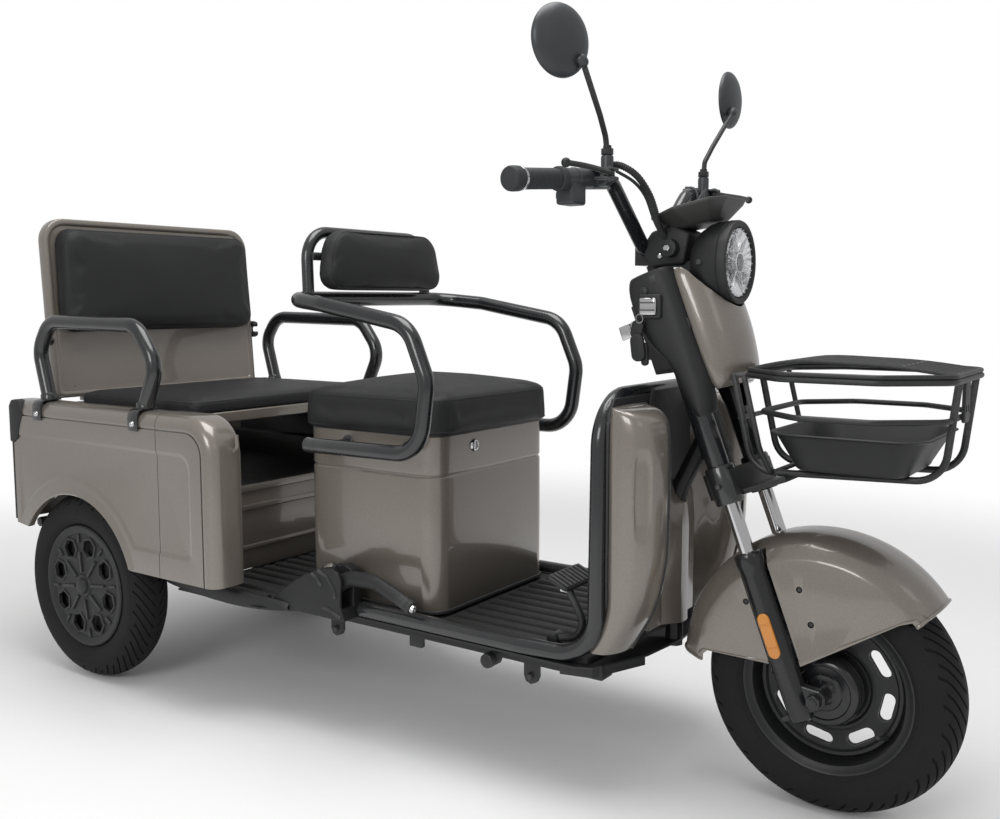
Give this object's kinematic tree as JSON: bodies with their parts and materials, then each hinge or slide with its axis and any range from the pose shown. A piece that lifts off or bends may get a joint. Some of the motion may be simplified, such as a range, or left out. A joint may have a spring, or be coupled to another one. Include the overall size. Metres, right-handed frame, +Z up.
{
  "type": "electric tricycle",
  "caption": "Two-row electric tricycle with a sprung front fork and basket, a box seat with armrests, and a padded rear bench over the driven axle.",
  "frame": {"origin": "on the ground under the middle of the vehicle's length and width", "axes": "+X forward, +Y to the rider's left, +Z up"},
  "size_m": [1.9508, 0.7792, 1.2557],
  "materials": {
    "taupe_paint": "gloss metallic",
    "gloss_black_tube": "gloss",
    "satin_black_steel": "satin",
    "black_plastic": "satin",
    "black_vinyl": "satin",
    "tyre_rubber": "matte",
    "floor_rubber": "matte",
    "grip_rubber": "matte",
    "chrome": "polished",
    "clear_lens": "polished"
  },
  "bodies": {
    "chassis": {"frame": "satin_black_steel", "shield_hoop": "gloss_black_tube", "leg_shield": "taupe_paint", "inner_panel": "black_plastic", "floor_mat": "floor_rubber", "seat_box": "taupe_paint", "battery_pack": "black_plastic", "front_armrest": "gloss_black_tube", "front_backrest_pad": "black_vinyl", "side_panel_left": "taupe_paint", "side_panel_right": "taupe_paint", "rear_tub": "satin_black_steel", "tail_panel": "taupe_paint", "bench_board": "taupe_paint", "bench_cushion": "black_vinyl", "rear_armrest_left": "gloss_black_tube", "rear_armrest_right": "gloss_black_tube", "handbrake_housing": "black_plastic"},
    "rear_axle": {"rear_axle": "satin_black_steel"},
    "rear_wheel_left": {"rear_tyre_left": "tyre_rubber", "rear_wheel_left": "black_plastic"},
    "rear_wheel_right": {"rear_tyre_right": "tyre_rubber", "rear_wheel_right": "black_plastic"},
    "corner_door_left": {"corner_door_left": "taupe_paint"},
    "corner_door_right": {"corner_door_right": "taupe_paint"},
    "rear_backrest": {"rear_backrest_shell": "taupe_paint", "rear_backrest_pad": "black_vinyl"},
    "front_seat": {"front_seat_base": "black_plastic", "front_seat_cushion": "black_vinyl"},
    "handbrake_lever": {"handbrake_lever": "black_plastic"},
    "handbrake_button": {"handbrake_button": "chrome"},
    "brake_pedal": {"brake_pedal": "satin_black_steel"},
    "steering": {"fork_crown": "satin_black_steel", "fork_stanchion_left": "chrome", "fork_stanchion_right": "chrome", "handlebar": "satin_black_steel", "grip_left": "grip_rubber", "perch_right": "black_plastic", "perch_left": "black_plastic", "column_cover": "black_plastic", "head_cover": "taupe_paint", "headlight_housing": "black_plastic", "headlight_lens": "clear_lens", "dash_panel": "black_plastic", "cable_loom": "black_plastic", "basket": "satin_black_steel", "basket_tray": "black_plastic"},
    "fork_lowers": {"fork_lowers": "satin_black_steel", "front_fender": "taupe_paint"},
    "front_wheel": {"front_tyre": "tyre_rubber", "front_wheel": "satin_black_steel"},
    "throttle_grip": {"throttle_grip": "grip_rubber"},
    "brake_lever_right": {"brake_lever_right": "satin_black_steel"},
    "brake_lever_left": {"brake_lever_left": "satin_black_steel"},
    "mirror_stem_left": {"mirror_stem_left": "satin_black_steel"},
    "mirror_stem_right": {"mirror_stem_right": "satin_black_steel"},
    "mirror_head_left": {"mirror_head_left": "black_plastic"},
    "mirror_head_right": {"mirror_head_right": "black_plastic"},
    "basket_lid": {"basket_lid": "satin_black_steel"},
    "ignition_key": {"ignition_key": "chrome"}
  },
  "joints": [
    {"name": "steering_turn", "type": "hinge", "parent": "chassis", "child": "steering", "pos_m": [0.56711, 0, 0.55905], "axis": [-0.3584, 0, 0.9336], "range_deg": [-34, 34]},
    {"name": "fork_slide", "type": "slide", "parent": "steering", "child": "fork_lowers", "axis": [-0.3584, 0, 0.9336], "range_m": [0, 0.035], "stiffness_N_per_m": 9000, "springref_m": -0.045},
    {"name": "front_wheel_spin", "type": "hinge", "parent": "fork_lowers", "child": "front_wheel", "pos_m": [0.77163, 0, 0.20374], "axis": [0, 1, 0], "continuous": true},
    {"name": "rear_axle_slide", "type": "slide", "parent": "chassis", "child": "rear_axle", "axis": [0, 0, 1], "range_m": [0, 0.03], "stiffness_N_per_m": 40000, "springref_m": -0.035},
    {"name": "rear_wheel_left_spin", "type": "hinge", "parent": "rear_axle", "child": "rear_wheel_left", "pos_m": [-0.74337, 0.303, 0.20374], "axis": [0, 1, 0], "continuous": true},
    {"name": "rear_wheel_right_spin", "type": "hinge", "parent": "rear_axle", "child": "rear_wheel_right", "pos_m": [-0.74337, -0.303, 0.20374], "axis": [0, 1, 0], "continuous": true},
    {"name": "corner_door_left_hinge", "type": "hinge", "parent": "chassis", "child": "corner_door_left", "pos_m": [-0.45307, 0.3605, 0.27], "axis": [0, 0, 1], "range_deg": [0, 90]},
    {"name": "corner_door_right_hinge", "type": "hinge", "parent": "chassis", "child": "corner_door_right", "pos_m": [-0.45307, -0.3605, 0.27], "axis": [0, 0, -1], "range_deg": [0, 90]},
    {"name": "rear_backrest_fold", "type": "hinge", "parent": "chassis", "child": "rear_backrest", "pos_m": [-0.88637, 0, 0.588], "axis": [0, 1, 0], "range_deg": [0, 60]},
    {"name": "front_seat_tilt", "type": "hinge", "parent": "chassis", "child": "front_seat", "pos_m": [-0.22087, 0, 0.5733], "axis": [0, -1, 0], "range_deg": [0, 50]},
    {"name": "handbrake_pull", "type": "hinge", "parent": "chassis", "child": "handbrake_lever", "pos_m": [-0.08837, -0.25, 0.284], "axis": [0, -1, 0], "range_deg": [0, 25]},
    {"name": "handbrake_button_press", "type": "slide", "parent": "handbrake_lever", "child": "handbrake_button", "axis": [-0.9104, 0, 0.4138], "range_m": [0, 0.006], "stiffness_N_per_m": 400},
    {"name": "brake_pedal_press", "type": "hinge", "parent": "chassis", "child": "brake_pedal", "pos_m": [0.36463, -0.188, 0.2555], "axis": [0, 1, 0], "range_deg": [0, 18], "stiffness_Nm_per_rad": 6, "springref_deg": -5.73},
    {"name": "throttle_turn", "type": "hinge", "parent": "steering", "child": "throttle_grip", "pos_m": [0.42086, -0.268, 1.00201], "axis": [0.1268, 0.9887, 0.0803], "range_deg": [0, 70], "stiffness_Nm_per_rad": 0.25},
    {"name": "brake_lever_right_pull", "type": "hinge", "parent": "steering", "child": "brake_lever_right", "pos_m": [0.46558, -0.2, 1.01353], "axis": [0, 0, -1], "range_deg": [0, 18], "stiffness_Nm_per_rad": 1, "springref_deg": -2.86},
    {"name": "brake_lever_left_pull", "type": "hinge", "parent": "steering", "child": "brake_lever_left", "pos_m": [0.46558, 0.2, 1.01353], "axis": [0, 0, 1], "range_deg": [0, 18], "stiffness_Nm_per_rad": 1, "springref_deg": -2.86},
    {"name": "mirror_stem_left_swing", "type": "hinge", "parent": "steering", "child": "mirror_stem_left", "pos_m": [0.45163, 0.182, 1.044], "axis": [0, 0, 1], "range_deg": [-40, 40]},
    {"name": "mirror_stem_right_swing", "type": "hinge", "parent": "steering", "child": "mirror_stem_right", "pos_m": [0.45163, -0.182, 1.044], "axis": [0, 0, 1], "range_deg": [-40, 40]},
    {"name": "mirror_head_left_turn", "type": "hinge", "parent": "mirror_stem_left", "child": "mirror_head_left", "pos_m": [0.46338, 0.28354, 1.173], "axis": [0, 0, 1], "range_deg": [-20, 20]},
    {"name": "mirror_head_right_turn", "type": "hinge", "parent": "mirror_stem_right", "child": "mirror_head_right", "pos_m": [0.4642, -0.27989, 1.166], "axis": [0, 0, 1], "range_deg": [-20, 20]},
    {"name": "basket_lid_lift", "type": "hinge", "parent": "steering", "child": "basket_lid", "pos_m": [0.64863, 0, 0.71257], "axis": [0, -1, 0], "range_deg": [0, 95]},
    {"name": "ignition_turn", "type": "hinge", "parent": "steering", "child": "ignition_key", "pos_m": [0.41563, -0.018, 0.76868], "axis": [-0.9336, 0, -0.3584], "range_deg": [0, 90]}
  ]
}
